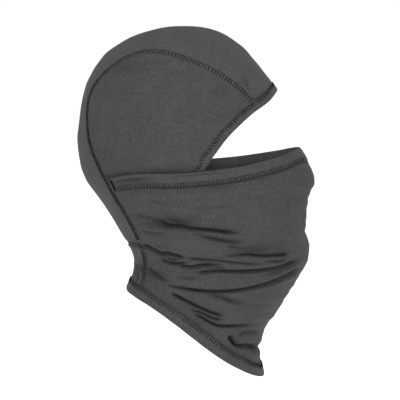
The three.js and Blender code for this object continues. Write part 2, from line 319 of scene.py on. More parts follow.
def nose_band(u, depth):
    """u from seam to seam round the front, depth down from the top edge"""
    place = NOSE_EDGE.beside(round_side(u) * nose_to, -depth)
    middle = np.stack([front_x(place[..., 1]), place[..., 1]], -1)
    return np.where((np.abs(u) < 1e-6)[..., None], middle, place), np.sign(u)


def neck_band(u, height):
    """u right round the neck, height above the cut edge. The hem is turned up wider below the cheeks."""
    share = (1 - np.cos(math.pi * u)) / 2
    turn = np.sin(math.pi * u)
    wider = 1 + NECK_WIDENING * np.sin(math.pi * np.clip(share / 0.8, 0, 1))
    return neck_place(share, height * wider), np.where(np.abs(turn) < 1e-6, 0, np.sign(turn))


def seam_band(side):
    def place(u, across):
        """u from brow to neck, across towards the back, measured on the cloth; under the hinge the gathered
        cloth pulls the seam wider"""
        t = seam_from + (seam_to - seam_from) * (u + 1) / 2
        x, z = np.moveaxis(SEAM_LINE.beside(t, 0.5 * MM + 0 * t), -1, 0)
        x2, z2 = np.moveaxis(SEAM_LINE.beside(t, -0.5 * MM + 0 * t), -1, 0)
        slope = (half_width(x2, z2) - half_width(x, z)) / MM
        pulled_wide = 0.6 * step_up(t, hinge_share - 0.04, hinge_share + 0.06)
        return SEAM_LINE.beside(t, across / np.hypot(1, slope) ** (1 - pulled_wide)), side
    return place


# ---------------------------------------------------------------- folds

# Each crease: its places on the side view in millimetres, its depth, the reach of its upper and of its lower
# flank, the shares of its length over which it comes in and dies out, and how wide its two ends are beside
# its middle.
CREASES = [
    ([(-46, -181.5), (-30, -183), (-14, -185.5)], 1.8, 3.0, 2.0, 0.2, 0.4, 1, 1),
    ([(-30, -181.5), (-14, -187), (1, -190), (13, -192.5), (31, -194.5), (48, -197), (66, -199.5)],
     5.2, 3.0, 1.7, 0.2, 0.25, 1.8, 0.9),
    ([(-36, -186), (-16, -187.5), (4, -191)], 2.6, 3.4, 3.0, 0.4, 0.4, 1, 1),
    ([(4, -194), (18, -199), (35, -203.5), (49, -206.5), (61, -207.5), (82, -208)],
     3.4, 3.0, 1.6, 0.45, 0.4, 1, 1.4),
    ([(40, -209), (58, -213), (76, -217)], 2.4, 3.0, 1.8, 0.3, 0.4, 1, 1.6),
    ([(36, -219), (64, -219.5), (83, -221.5), (107, -222)], 5.2, 2.6, 1.2, 0.35, 0.06, 1, 1.2),
    ([(80, -226), (95, -227), (106, -227)], 2.4, 1.3, 1.0, 0.3, 0.3, 1, 1),
    ([(-50, -214), (-38, -213), (-29, -214.5), (-18, -219), (-11, -218), (-3, -220), (8, -222)],
     5.0, 2.0, 1.2, 0.05, 0.15, 1.3, 1),
    ([(6, -221.5), (20, -223), (35, -224), (51, -226), (70, -228.5), (92, -230)],
     3.0, 1.5, 1.0, 0.1, 0.3, 1, 1),
    ([(-19, -223), (-12, -227), (-3, -228), (10, -226)], 5.0, 1.6, 1.1, 0.15, 0.2, 1, 1),
    ([(-14, -221), (-7, -223.5), (0, -223)], 3.4, 1.2, 1.0, 0.3, 0.3, 1, 1),
    ([(-2, -230), (12, -230.5), (22, -228.5), (44, -228)], 5.0, 1.6, 1.1, 0.15, 0.25, 1.2, 1),
    ([(22, -232), (34, -231.5), (47, -230.5)], 3.0, 1.2, 1.0, 0.3, 0.3, 1, 1),
    ([(16, -236), (41, -235), (60, -235.5), (84, -235), (100, -233), (112, -230), (121, -226)],
     5.8, 1.9, 1.1, 0.05, 0.22, 1, 1.9),
    ([(78, -240), (96, -238), (112, -233)], 2.4, 2.4, 1.6, 0.4, 0.3, 1, 1),
    ([(-24, -250), (-1, -252), (20, -254.5), (44, -255), (66, -253), (89, -248.5), (106, -243), (120, -236)],
     5.8, 1.9, 1.1, 0.25, 0.1, 0.8, 1.6),
    ([(20, -257), (39, -261), (51, -266), (66, -269)], 2.6, 3.4, 2.4, 0.25, 0.4, 1, 1),
    ([(-9, -258), (-2, -261), (10, -267), (23, -273), (36, -278), (46, -279)],
     5.2, 1.9, 1.2, 0.1, 0.25, 0.9, 1.2),
    ([(6, -272), (21, -276.5), (33, -282), (45, -284)], 4.2, 1.6, 1.1, 0.3, 0.3, 1, 1),
    ([(12, -277), (21, -281), (31, -286.5), (40, -289.5), (58, -290), (80, -290)],
     4.8, 1.8, 1.2, 0.2, 0.3, 1, 1),
    ([(48, -299), (51, -305), (56, -310), (67, -311.5), (74, -317), (84, -322)],
     7.0, 2.2, 1.8, 0.06, 0.03, 1.4, 1.9),
    ([(52, -303), (62, -298), (72, -298.5), (78, -303)], 2.2, 2.4, 1.8, 0.3, 0.3, 1, 1),
    ([(-33, -235), (-25, -241), (-14, -246), (-6, -246)], 2.6, 2.6, 1.8, 0.1, 0.5, 0.8, 1.6),
    ([(-40, -197), (-24, -198), (-12, -197)], 1.6, 2.4, 1.6, 0.2, 0.5, 1, 1),
    ([(-40, -189), (-20, -190), (-2, -192)], 1.4, 2.4, 1.6, 0.2, 0.5, 1, 1),
    ([(8, -171), (28, -172.5), (54, -171)], 0.8, 2.0, 1.5, 0.3, 0.3, 1, 1),
    ([(-34, -164), (-22, -168), (-8, -169)], 1.0, 2.2, 1.6, 0.3, 0.4, 1, 1),
    ([(-4, -241), (8, -243), (20, -242)], 1.6, 2.0, 1.4, 0.3, 0.3, 1, 1),
]
# The crown panel has creases where the nape is gathered, and one beside the front end of its seam.
CROWN_CREASES = [
    ([(-43, -232), (-42.5, -242), (-43, -252)], 4.0, 1.3, 1.1, 0.2, 0.3, 1, 1),
    ([(-40, -232), (-39, -237), (-38, -241)], 3.4, 1.2, 1.0, 0.2, 0.3, 1, 1),
    ([(-47, -236), (-48, -246)], 2.2, 1.2, 1.0, 0.3, 0.3, 1, 1),
    ([(-55, -213.5), (-46, -213.5), (-38, -213), (-30, -214)], 4.0, 2.2, 1.3, 0.05, 0.05, 1, 1),
    ([(62, -46), (64, -53), (68, -62)], 1.4, 2.0, 1.6, 0.4, 0.3, 1, 1),
]
# Broad swells: middle on the side view, reach along x and z, and height, all in millimetres, then how much
# painted shade each hollow puts in the cloth's colour.
SWELLS = [
    ((-6, -186.5), (17, 5.5), -0.8, 0.95),
    ((20, -180), (40, 8), 1.2, 0),
    ((30, -212), (40, 8), 1.0, 0),
    ((73, -214), (22, 5), -0.8, 0.45),
    ((20, -244), (50, 7), 1.4, 0),
    ((70, -272), (26, 14), 1.2, 0),
    ((50, -172), (50, 12), 0.8, 0),
    ((66, -305), (10, 5), 1.6, 0),
    ((-24, -240), (10, 4.5), -1.5, 0.4),
    ((73, -314), (7, 2.6), -0.6, 0.95),
]


def crease_at(x, z, crease):
    """How far one crease moves the cloth, and how much painted shade it puts in the cloth's colour at each
    place, 0 to 1.
    """
    knots, depth, upper, lower, comes_in, dies_out, first, last = crease
    line = catmull(np.array(knots, float) * MM * (GRADE[0], GRADE[2]), 16)
    ahead = np.gradient(line, axis=0)
    ahead /= np.linalg.norm(ahead, axis=1, keepdims=True)
    gap_x = x[:, None] - line[:, 0]
    gap_z = z[:, None] - line[:, 1]
    near = np.argmin(gap_x**2 + gap_z**2, axis=1)
    rows = np.arange(len(x))
    dx = gap_x[rows, near] / MM
    dz = gap_z[rows, near] / MM
    above = ahead[near, 0] * dz - ahead[near, 1] * dx
    past = np.abs(ahead[near, 0] * dx + ahead[near, 1] * dz)
    share = near / (len(line) - 1)
    fade = step_up(share, 0, comes_in) * (1 - step_up(share, 1 - dies_out, 1)) * np.exp(-((past / 4) ** 2))
    widened = 1 + (first - 1) * (1 - step_up(share, 0, 0.5)) + (last - 1) * step_up(share, 0.5, 1)
    upper, lower = upper * widened, lower * widened
    reach = np.where(above > 0, upper, lower)
    valley = np.exp(-((np.abs(above) / reach) ** 1.4))
    brow = 0.30 * np.exp(-(((above - 1.9 * upper) / (1.1 * upper)) ** 2))
    lip = 0.22 * np.exp(-(((above + 2.2 * lower) / (1.2 * lower)) ** 2))
    # Painted shade in the colour, darkest a little above the valley.
    inside = np.exp(-((np.abs(above - 0.2 * upper) / np.where(above > 0, 0.75 * upper, 0.8 * lower)) ** 1.6))
    return depth * (brow + lip - valley) * fade * MM, inside * fade * min(1, depth / 4.6) / widened**0.4


def folds_at(x, z, side, creases):
    """How far the folds move the cloth, and how much painted shade each place gets in the cloth's colour, from
    the folds and, on the mask, from the hollows of the swells. The left side's folds are a little off the right
    side's, and the two meet round the front."""
    flat_x, flat_z = np.ravel(x), np.ravel(z)
    left = (np.broadcast_to(side, np.shape(x)).ravel() > 0) * step_up(front_x(flat_z) - flat_x, 0, 26 * MM)
    moved_x = flat_x - left * 5 * MM
    moved_z = flat_z + left * (3.5 * MM * np.sin(flat_x / (23 * MM)) + 2 * MM)
    calm = 1 - 0.6 * (1 - step_up(front_x(flat_z) - flat_x, 0, 9 * MM))
    total, inside = np.zeros(len(flat_x)), np.zeros(len(flat_x))
    for crease in creases:
        height, within = crease_at(moved_x, moved_z, crease)
        total += height * calm
        inside = np.maximum(inside, within)
    if creases is CREASES:
        for (cx, cz), (rx, rz), height, painted_shade in SWELLS:
            swell = np.exp(-(((moved_x / MM - cx) / rx) ** 2) - ((moved_z / MM - cz) / rz) ** 2)
            total += height * MM * swell
            # Painted shade in each swell's hollow.
            inside = np.maximum(inside, painted_shade * swell)
    return total.reshape(np.shape(x)), inside.reshape(np.shape(x))


def ripple(x, y, z, size, depth, seed):
    """A gentle unevenness, made of a few crossing waves."""
    draw = np.random.default_rng(seed)
    total = np.zeros(np.shape(x))
    for _ in range(7):
        way = draw.normal(size=3) * (0.6, 0.6, 1.5)
        total += np.sin((way[0] * x + way[1] * y + way[2] * z) * 2 * math.pi / size + draw.uniform(0, 6.28))
    return total * depth / 3


# ---------------------------------------------------------------- making the pieces

STEP = 0.004  # for slopes, as a share of a piece's length or width
BAND_STEP = 0.3 * MM  # for slopes across a hem or a seam, which are measured in metres


def stand(place, u, v):
    at, side = place(u, v)
    return np.stack([at[..., 0], side * half_width(at[..., 0], at[..., 1]), at[..., 1]], -1)


def outward(place, u, v, v_step=STEP):
    du = stand(place, u + STEP, v) - stand(place, u - STEP, v)
    dv = stand(place, u, v + v_step) - stand(place, u, v - v_step)
    normal = np.cross(du, dv)
    normal /= np.linalg.norm(normal, axis=-1, keepdims=True) + 1e-15
    here = stand(place, u, v)
    level = np.minimum(here[..., 2], CENTRE[1])
    inside = np.stack([widest_x(level), 0 * level, level], -1)
    return normal * np.where(((here - inside) * normal).sum(-1) < 0, -1, 1)[..., None]


def deselect():
    bpy.ops.object.select_all(action="DESELECT")


def new_grid(name, columns, rows):
    """A flat grid to be shaped, with where each vertex is along it, -1 to 1, and across it, 0 to 1."""
    deselect()
    bpy.ops.mesh.primitive_grid_add(x_subdivisions=columns, y_subdivisions=rows, size=2)
    piece = bpy.context.object
    piece.name = name
    piece.data.name = name
    co = np.zeros(len(piece.data.vertices) * 3)
    piece.data.vertices.foreach_get("co", co)
    co = co.reshape(-1, 3)
    return piece, co[:, 0].copy(), (co[:, 1] + 1) / 2


def set_shape(piece, co):
    piece.data.vertices.foreach_set("co", co.astype(np.float32).ravel())
    piece.data.update()


def set_pattern_lengths(piece, u, v, co):
    """The piece's UV map holds its cloth's own lengths, in metres, along and across."""
    order = np.lexsort((np.round(u, 6), np.round(v, 6)))
    columns = len(np.unique(np.round(u, 6)))
    grid = co[order].reshape(-1, columns, 3)
    along = np.linalg.norm(np.diff(grid, axis=1, prepend=grid[:, :1]), axis=2).cumsum(1)
    along -= along[:, columns // 2:columns // 2 + 1]
    across = np.linalg.norm(np.diff(grid, axis=0, prepend=grid[:1]), axis=2).cumsum(0)
    lengths = np.zeros((len(u), 2))
    lengths[order] = np.stack([along.ravel(), across.ravel()], -1)
    corners = np.zeros(len(piece.data.loops), int)
    piece.data.loops.foreach_get("vertex_index", corners)
    piece.data.uv_layers[0].data.foreach_set("uv", lengths[corners].astype(np.float32).ravel())


def face_outwards(piece, normals):
    """Turns the mesh round if its faces look inwards."""
    first = piece.data.polygons[len(piece.data.polygons) // 3]
    towards = sum(normals[i] @ np.array(first.normal) for i in first.vertices)
    if towards < 0:
        piece.data.flip_normals()


def finish_with(piece, kind, name, **settings):
    modifier = piece.modifiers.new(name, kind)
    for key, value in settings.items():
        setattr(modifier, key, value)
    deselect()
    piece.select_set(True)
    bpy.context.view_layer.objects.active = piece
    bpy.ops.object.modifier_apply(modifier=name)


def smooth(piece, material):
    piece.data.materials.clear()
    piece.data.materials.append(material)
    deselect()
    piece.select_set(True)
    bpy.context.view_layer.objects.active = piece
    bpy.ops.object.shade_smooth()


def set_painted_shade(piece, values):
    """Painted shade: how deep inside a fold, or under an edge, each place is, which the cloth's material reads
    to darken its colour.
    """
    layer = piece.data.attributes.new("painted_fold_shade", "FLOAT", "POINT")
    layer.data.foreach_set("value", values.astype(np.float32))


def cloth(name, place, columns, rows, lift, material):
    """A sheet of jersey on the head, with its thickness."""
    piece, u, v = new_grid(name, columns, rows)
    base = stand(place, u, v)
    normals = outward(place, u, np.clip(v, STEP, 1 - STEP))
    height, inside = lift(base, u, v)
    co = base + normals * height[:, None]
    set_shape(piece, co)
    set_pattern_lengths(piece, u, v, co)
    # Painted shade in folds, which the material darkens the colour with.
    set_painted_shade(piece, inside)
    face_outwards(piece, normals)
    smooth(piece, material)
    piece.data.materials.append(JERSEY_BACK_PAINTED_LIGHT)
    finish_with(piece, "SOLIDIFY", "thickness", thickness=JERSEY, offset=-1, material_offset=1)
    return piece


def no_wrinkle(base, depth):
    return 0 * depth


def hem(name, band, columns, width, lift, sewn_from, material, closed=False, wrinkle=no_wrinkle,
        painted_edge_shade=0.3):
    """Jersey folded over into a flat tube: its folded edge is at depth 0, its sewn edge at its width. Thread
    holds it down from some depth on."""
    around = 22
    piece, u, v = new_grid(name, columns, around)
    turn = 2 * math.pi * v
    depth = width * (0.5 - 0.5 * np.sign(np.cos(turn)) * np.abs(np.cos(turn)) ** 0.45)
    height = HEM_THICKNESS / 2 * np.sign(np.sin(turn)) * np.abs(np.sin(turn)) ** 0.5
    outer = step_up(np.sin(turn), -0.1, 0.3)
    height = height + outer * HEM_PUFF * np.sin(math.pi * depth / width)
    base = stand(band, u, depth)
    normals = outward(band, u, depth, BAND_STEP)
    held = step_up(depth, sewn_from - 1.2 * MM, sewn_from + 0.8 * MM)
    sewn_line = stand(band, np.linspace(-1, 1, 400), np.full(400, sewn_from))
    length = np.linalg.norm(np.diff(sewn_line, axis=0), axis=1).sum()
    run = (u + 1) / 2 * length / MM
    height = height - outer * held * (HELD_DOWN + 0.10 * MM * np.sin(run * 2 * math.pi / 2.3))
    pucker = np.sin(run / 2.9 + 2 * np.sin(run / 11)) * np.exp(-(((depth - sewn_from) / (4 * MM)) ** 2))
    height = height + 0.2 * MM * pucker * outer
    crease = wrinkle(base, depth) * outer
    co = base + normals * (lift(base, u, depth) + height - HEM_CREASE * crease)[:, None]
    set_shape(piece, co)
    set_pattern_lengths(piece, u, v, co)
    # Painted shade in the colour: a dark line along the hem's sewn edge, and in the hem's creases.
    painted_edge_shade_mask = step_up(depth, width - 1.3 * MM, width - 0.3 * MM) * outer
    set_painted_shade(piece, np.maximum(painted_edge_shade * painted_edge_shade_mask, 0.7 * crease))
    smooth(piece, material)
    piece.data.materials.append(JERSEY_BACK_PAINTED_LIGHT)
    for face in piece.data.polygons:
        face.material_index = int(np.mean(v[list(face.vertices)]) > 0.5)
    bpy.ops.object.mode_set(mode="EDIT")
    bpy.ops.mesh.select_all(action="SELECT")
    bpy.ops.mesh.remove_doubles(threshold=0.02 * MM)
    if not closed:
        bpy.ops.mesh.select_all(action="DESELECT")
        bpy.ops.mesh.select_non_manifold()
        bpy.ops.mesh.fill_holes(sides=0)
    bpy.ops.mesh.select_all(action="SELECT")
    bpy.ops.mesh.normals_make_consistent(inside=False)
    bpy.ops.object.mode_set(mode="OBJECT")
    return piece


def one_stitch():
    """A single loop of thread lying on the cloth: a slim pip one unit long, wide and high."""
    deselect()
    bpy.ops.mesh.primitive_uv_sphere_add(segments=6, ring_count=5, radius=0.5, rotation=(0, math.pi / 2, 0))
    pip = bpy.context.object
    bpy.ops.object.transform_apply(location=True, rotation=True, scale=True)
    co = np.array([v.co for v in pip.data.vertices])
    faces = [tuple(p.vertices) for p in pip.data.polygons]
    bpy.data.objects.remove(pip)
    return co, faces


PIP, PIP_FACES = one_stitch()
THREAD_HEIGHT = 0.8  # a stitch's height beside its width


def sew(name, starts, ends, normals, width, material):
    """Stitches from each start to each end, one pip of thread for each, as one piece."""
    ahead = ends - starts
    lengths = np.linalg.norm(ahead, axis=1)
    ahead = ahead / lengths[:, None]
    across = np.cross(normals, ahead)
    across /= np.linalg.norm(across, axis=1, keepdims=True)
    up = np.cross(ahead, across)
    middle = (starts + ends) / 2
    co = (
        middle[:, None]
        + PIP[None, :, :1] * (ahead * lengths[:, None])[:, None]
        + PIP[None, :, 1:2] * (across * width)[:, None]
        + PIP[None, :, 2:] * (up * width * THREAD_HEIGHT)[:, None]
    )
    faces = [tuple(i + k * len(PIP) for i in face) for k in range(len(starts)) for face in PIP_FACES]
    mesh = bpy.data.meshes.new(name)
    mesh.from_pydata(co.reshape(-1, 3).tolist(), [], faces)
    piece = bpy.data.objects.new(name, mesh)
    bpy.context.scene.collection.objects.link(piece)
    smooth(piece, material)
    return piece


def join(name, pieces):
    deselect()
    for piece in pieces:
        piece.select_set(True)
    bpy.context.view_layer.objects.active = pieces[0]
    bpy.ops.object.join()
    pieces[0].name = name
    pieces[0].data.name = name
    return pieces[0]


def row_places(band, depth, lift, pitch, ends=(-1, 1)):
    """Points and normals along a band at one depth, a pitch apart."""
    u = np.linspace(ends[0], ends[1], 1600)
    base = stand(band, u, depth + 0 * u)
    run = np.concatenate([[0], np.cumsum(np.linalg.norm(np.diff(base, axis=0), axis=1))])
    marks = np.arange(0.5, int(run[-1] / pitch)) * pitch
    u = np.interp(marks, run, u)
    base = stand(band, u, depth + 0 * u)
    normals = outward(band, u, depth + 0 * u, BAND_STEP)
    return base + normals * lift(base, u, depth + 0 * u)[:, None], normals


ROW_STITCH = 0.75  # a needle stitch's share of its pitch
ROW_WIDTH = 0.6  # and its width beside that of a rung


def running_row(name, band, depth, lift, material, pitch, length, width, ends):
    """A row of needle stitches that follows a band."""
    at, normals = row_places(band, depth, lift, pitch, ends)
    ahead = np.gradient(at, axis=0)
    ahead /= np.linalg.norm(ahead, axis=1, keepdims=True)
    return sew(name, at - ahead * length / 2, at + ahead * length / 2, normals, width, material)


def ladder(name, band, near, far, lift, material, pitch=2.9 * MM, width=1.15 * MM, ends=(-1, 1)):
    """Cover stitching: rungs of thread that cross from one row of needle stitches to the other."""
    draw = np.random.default_rng(len(name) + int(far / MM * 10))
    one, normals = row_places(band, near, lift, pitch, ends)
    other, _ = row_places(band, far, lift, pitch, ends)
    count = min(len(one), len(other))
    other = other[np.linspace(0, len(other) - 1, count).astype(int)]
    one = one[np.linspace(0, len(one) - 1, count).astype(int)]
    normals = normals[:count]
    lean = np.roll(other, -1, axis=0) - other
    lean[-1] = 0
    starts = one + lean * draw.uniform(-0.12, 0.12, count)[:, None]
    stops = other + lean * draw.uniform(0.15, 0.45, count)[:, None]
    rungs = sew(name + "_rungs", starts, stops, normals, width, material)
    edges = [
        running_row(f"{name}_row_{k}", band, depth, lift, material, pitch, ROW_STITCH * pitch,
                    ROW_WIDTH * width, ends)
        for k, depth in enumerate((near, far))
    ]
    return join(name, [rungs] + edges)


# ---------------------------------------------------------------- materials

COURSES_TO_WALES = 1.25  # rows of loops to the columns of them


def knit_group():
    """Rows of knitted loops. Its map is in metres."""
    group = bpy.data.node_groups.new("jersey_knit", "ShaderNodeTree")
    group.interface.new_socket("Map", in_out="INPUT", socket_type="NodeSocketVector")
    group.interface.new_socket("Wales", in_out="INPUT", socket_type="NodeSocketFloat")
    group.interface.new_socket("Height", in_out="OUTPUT", socket_type="NodeSocketFloat")
    nodes, links = group.nodes, group.links
    inside = nodes.new("NodeGroupInput")
    out = nodes.new("NodeGroupOutput")

    def maths(operation, a, b=None):
        node = nodes.new("ShaderNodeMath")
        node.operation = operation
        for socket, value in zip(node.inputs, (a, b)):
            if value is None:
                continue
            if isinstance(value, (int, float)):
                socket.default_value = value
            else:
                links.new(value, socket)
        return node.outputs[0]

    parts = nodes.new("ShaderNodeSeparateXYZ")
    links.new(inside.outputs["Map"], parts.inputs[0])
    wale = maths("MULTIPLY", parts.outputs[0], inside.outputs["Wales"])
    course = maths("MULTIPLY", maths("MULTIPLY", parts.outputs[1], inside.outputs["Wales"]), COURSES_TO_WALES)
    from_middle = maths("ABSOLUTE", maths("SUBTRACT", maths("FRACT", wale), 0.5))
    leaning = maths("ADD", course, maths("MULTIPLY", from_middle, 1.1))
    loop = maths("SINE", maths("MULTIPLY", leaning, 2 * math.pi))
    column = maths("SUBTRACT", 1, maths("POWER", maths("MULTIPLY", from_middle, 2), 4))
    links.new(maths("MULTIPLY", maths("ADD", maths("MULTIPLY", loop, 0.35), 0.65), column), out.inputs["Height"])
    return group


DARK_YARN = 0.66  # shares of the cloth's colour
LIGHT_YARN = 1.34
# the cloth's colour as painted shade, deepest in a fold
PAINTED_FOLD_TONE = 0.05


def cloth_material(name, colour, wales, knit_depth, roughness, sheen):
    material = bpy.data.materials.new(name)
    material.use_nodes = True
    nodes, links = material.node_tree.nodes, material.node_tree.links
    shader = nodes["Principled BSDF"]
    shader.inputs["Roughness"].default_value = roughness
    shader.inputs["Sheen Weight"].default_value = sheen
    shader.inputs["Sheen Roughness"].default_value = 0.45
    shader.inputs["Specular IOR Level"].default_value = 0.25
    place = nodes.new("ShaderNodeTexCoord")
    flat = nodes.new("ShaderNodeUVMap")
    knit = nodes.new("ShaderNodeGroup")
    knit.node_tree = KNIT
    knit.inputs["Wales"].default_value = wales
    links.new(flat.outputs["UV"], knit.inputs["Map"])
    patches = nodes.new("ShaderNodeTexNoise")
    patches.inputs["Scale"].default_value = 60
    patches.inputs["Detail"].default_value = 8
    patches.inputs["Roughness"].default_value = 0.7
    links.new(place.outputs["Object"], patches.inputs["Vector"])
    fibres = nodes.new("ShaderNodeTexNoise")
    fibres.inputs["Scale"].default_value = 520
    fibres.inputs["Detail"].default_value = 3
    along_wales = nodes.new("ShaderNodeVectorMath")
    along_wales.operation = "MULTIPLY"
    along_wales.inputs[1].default_value = (1, 0.45, 1)
    links.new(flat.outputs["UV"], along_wales.inputs[0])
    links.new(along_wales.outputs["Vector"], fibres.inputs["Vector"])
    tone = nodes.new("ShaderNodeValToRGB")
    tone.color_ramp.elements[0].position = 0.3
    tone.color_ramp.elements[0].color = [c * DARK_YARN for c in colour] + [1]
    tone.color_ramp.elements[1].position = 0.7
    tone.color_ramp.elements[1].color = [c * LIGHT_YARN for c in colour] + [1]
    blend = nodes.new("ShaderNodeMix")
    blend.inputs["Factor"].default_value = 0.62
    links.new(patches.outputs["Fac"], blend.inputs["A"])
    links.new(fibres.outputs["Fac"], blend.inputs["B"])
    links.new(blend.outputs["Result"], tone.inputs["Fac"])
    loops = nodes.new("ShaderNodeMix")
    loops.data_type = "RGBA"
    loops.blend_type = "MULTIPLY"
    loops.inputs["Factor"].default_value = 0.35
    links.new(tone.outputs["Color"], loops.inputs["A"])
    links.new(knit.outputs["Height"], loops.inputs["B"])
    # Painted shade: the colour is darkened towards a twentieth of the cloth's colour where a place is marked
    # deep in a fold, under a hem's edge or in the hollow beside the seam.
    fold = nodes.new("ShaderNodeAttribute")
    fold.attribute_name = "painted_fold_shade"
    painted_fold_shading = nodes.new("ShaderNodeMix")
    painted_fold_shading.data_type = "RGBA"
    links.new(fold.outputs["Fac"], painted_fold_shading.inputs["Factor"])
    links.new(loops.outputs["Result"], painted_fold_shading.inputs["A"])
    painted_fold_shading.inputs["B"].default_value = [c * PAINTED_FOLD_TONE for c in colour] + [1]
    links.new(painted_fold_shading.outputs["Result"], shader.inputs["Base Color"])
    bump = nodes.new("ShaderNodeBump")
    bump.inputs["Strength"].default_value = 0.6
    bump.inputs["Distance"].default_value = knit_depth
    links.new(knit.outputs["Height"], bump.inputs["Height"])
    links.new(bump.outputs["Normal"], shader.inputs["Normal"])
    return material


def thread_material():
    material = bpy.data.materials.new("thread")
    material.use_nodes = True
    nodes, links = material.node_tree.nodes, material.node_tree.links
    shader = nodes["Principled BSDF"]
    shader.inputs["Roughness"].default_value = 0.85
    shader.inputs["Specular IOR Level"].default_value = 0.1
    place = nodes.new("ShaderNodeTexCoord")
    twist = nodes.new("ShaderNodeTexNoise")
    twist.inputs["Scale"].default_value = 1400
    links.new(place.outputs["Object"], twist.inputs["Vector"])
    tone = nodes.new("ShaderNodeValToRGB")
    tone.color_ramp.elements[0].color = (0.004, 0.004, 0.0042, 1)
    tone.color_ramp.elements[1].color = (0.016, 0.016, 0.0165, 1)
    links.new(twist.outputs["Fac"], tone.inputs["Fac"])
    links.new(tone.outputs["Color"], shader.inputs["Base Color"])
    return material


KNIT = knit_group()
WALES = 1500  # columns of loops to the metre
KNIT_DEPTH = 0.00012
JERSEY_CLOTH = cloth_material("jersey_cloth", (0.090, 0.090, 0.0915), WALES, KNIT_DEPTH, 0.82, 0.12)
HEM_CLOTH = cloth_material("hem_cloth", (0.094, 0.094, 0.096), WALES, KNIT_DEPTH, 0.82, 0.15)
# The crown's jersey is a lighter colour than the sides', painted light for the light that falls on the top of
# the head.
CROWN_CLOTH_PAINTED_LIGHTER = cloth_material("crown_jersey_painted_lighter", (0.103, 0.103, 0.1045), WALES, KNIT_DEPTH, 0.82, 0.12)
# The cloth's inner face is far paler than its outer face: painted light for the inside of the hood, seen through
# the face opening.
JERSEY_BACK_PAINTED_LIGHT = cloth_material("jersey_back_painted_light", (0.230, 0.230, 0.232), WALES, KNIT_DEPTH, 0.85, 0.1)
SEAM_CLOTH = cloth_material("seam_cloth", (0.110, 0.110, 0.111), WALES, 0.00015, 0.85, 0.1)
THREAD = thread_material()


# ---------------------------------------------------------------- the balaclava

def hood_tuck(base, below):
    return -(step_up(below, -9 * MM, 1 * MM) * TUCK + step_up(below, 0, 16 * MM) * EASE)


def pucker_along(run, gap):
    """Small gathers that the stitching of a seam pulls into the cloth beside it."""
    wave = np.sin(run / (1.7 * MM) + 2.5 * np.sin(run / (9 * MM))) + 0.6 * np.sin(run / (3.1 * MM))
    return 0.3 * MM * wave * np.exp(-((gap / (5 * MM)) ** 2))


def crown_lift(base, u, v):
    side = np.where(u > 0, 1, -1)
    folds, inside = folds_at(base[:, 0], base[:, 2], side, CROWN_CREASES)
    flat = base[:, [0, 2]]
    gathers = pucker_along(v * SEAM_LINE.length, SEAM_LINE.distance(flat))
    # Its second value is painted shade in the colour, in the crown's creases.
    return ripple(*base.T, 45 * MM, 0.25 * MM, 3) + folds + gathers, inside


def side_lift(base, u, v):
    flat = base[:, [0, 2]]
    gathers = pucker_along((u + 1) / 2 * SEAM_LINE.length, SEAM_LINE.distance(flat))
    x, z = flat.T / MM
    hollow = np.exp(-(((x + 50) / 14) ** 2) - ((z + 38) / 6) ** 2)
    ease = ripple(*base.T, 45 * MM, 0.3 * MM, 5) - 0.8 * MM * hollow
    # The hollow below the seam is shaped into the cloth and also gets painted shade in its colour.
    return hood_tuck(base, below_nose(flat)) + ease + gathers, 0.25 * hollow


def mask_lift(base, u, v):
    over = MASK_LIFT * (1 - step_up(np.abs(u), 0.84, 0.97)) * (1 - step_up(v, 0.88, 0.97))
    over = over * step_up(v, 0.03, 0.14)
    folds, inside = folds_at(base[:, 0], base[:, 2], np.sign(u), CREASES)
    calm = 1 - 0.6 * step_up(v, 0.93, 0.99)
    flat = base[:, [0, 2]]
    gathers = pucker_along(flat[:, 1], SEAM_LINE.distance(flat))
    # Painted shade: a dark line in the colour just below the nose hem's lower edge.
    painted_shade_under_hem = 0.8 * np.exp(-(((below_nose(flat) - NOSE_HEM) / (0.9 * MM)) ** 2))
    ease = ripple(*base.T, 26 * MM, 0.35 * MM, 9)
    return over + folds * calm + gathers + ease, np.maximum(inside * calm, painted_shade_under_hem)


def face_hem_lift(base, u, depth):
    edge, _ = face_band(u, 0 * u)
    return hood_tuck(base, below_nose(edge)) + ripple(*base.T, 40 * MM, 0.3 * MM, 5)


def nose_hem_lift(base, u, depth):
    round_front = step_up(np.abs(u), 0.05, 0.5)
    at_seam = step_up(np.abs(u), 0.86, 1)
    return NOSE_LIFT * round_front * (1 - 0.6 * at_seam) + ripple(*base.T, 30 * MM, 0.25 * MM, 9)


def nose_hem_wrinkle(base, depth):
    """Where the hem of the mask is pulled towards the seams, it has shallow creases along it."""
    x = base[:, 0] / MM
    behind = np.exp(-(((x + 44) / 15) ** 2) - ((depth / MM - 4.2) / 0.9) ** 2)
    beside = 0.6 * np.exp(-(((x - 20) / 26) ** 2) - ((depth / MM - 2.4) / 0.8) ** 2)
    return behind + beside


def neck_hem_lift(base, u, height):
    side = np.where(np.sin(math.pi * u) > 0, 1, -1)
    folds, _ = folds_at(base[:, 0], base[:, 2], side, CREASES)
    return 0.3 * MM + folds * 0.4 + ripple(*base.T, 30 * MM, 0.4 * MM, 9)


def on_top(lift, height):
    return lambda base, u, depth: lift(base, u, depth) + height


SEWN_TOP = HEM_THICKNESS / 2 - 0.02 * MM

crown = cloth("crown_cloth", crown_place, 64, 240, crown_lift, CROWN_CLOTH_PAINTED_LIGHTER)
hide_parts("crown_panel")
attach(crown, "hood")

for name, side in (("right", -1), ("left", 1)):
    panel = cloth(f"side_cloth_{name}", side_place(side), 200, 64, side_lift, JERSEY_CLOTH)
    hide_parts(f"side_panel_{name}")
    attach(panel, "hood")

mask = cloth("mask_cloth", mask_place, 260, 176, mask_lift, JERSEY_CLOTH)
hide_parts("mask_panel")

